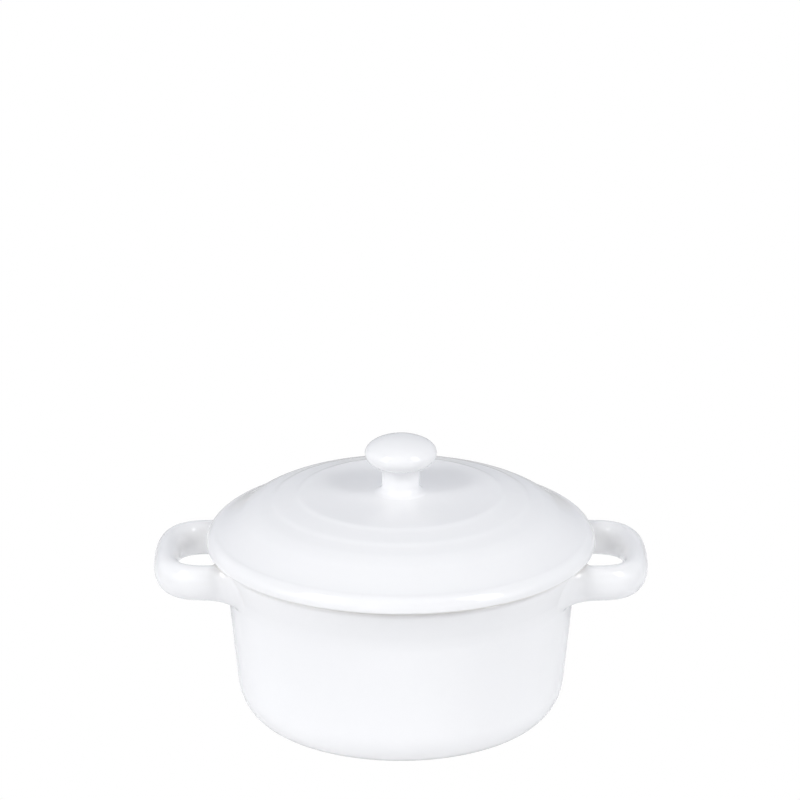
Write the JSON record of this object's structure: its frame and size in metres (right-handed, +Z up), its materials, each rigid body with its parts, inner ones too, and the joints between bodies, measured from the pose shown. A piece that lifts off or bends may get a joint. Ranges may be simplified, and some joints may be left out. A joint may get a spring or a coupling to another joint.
{
  "type": "individual cocotte with lid",
  "caption": "Small round white glazed ceramic casserole with loop handles, a flared collar and a stepped lift-off lid with a mushroom knob, for baking and serving an individual portion.",
  "frame": {"origin": "middle of the foot ring's underside, on the surface that the pot stands on", "axes": "+X through the right handle, +Z up along the pot's axis"},
  "size_m": [0.1398, 0.1098, 0.0817],
  "materials": {
    "white_glaze": "glossy white glaze on a white ceramic body"
  },
  "bodies": {
    "pot": {"pot_bowl": "white_glaze", "left_handle": "white_glaze", "right_handle": "white_glaze"},
    "lid": {"lid_shell": "white_glaze", "lid_knob": "white_glaze"}
  },
  "joints": [
    {"name": "lid_lift", "type": "slide", "parent": "pot", "child": "lid", "axis": [0, 0, 1], "range_m": [0, 0.1]}
  ]
}
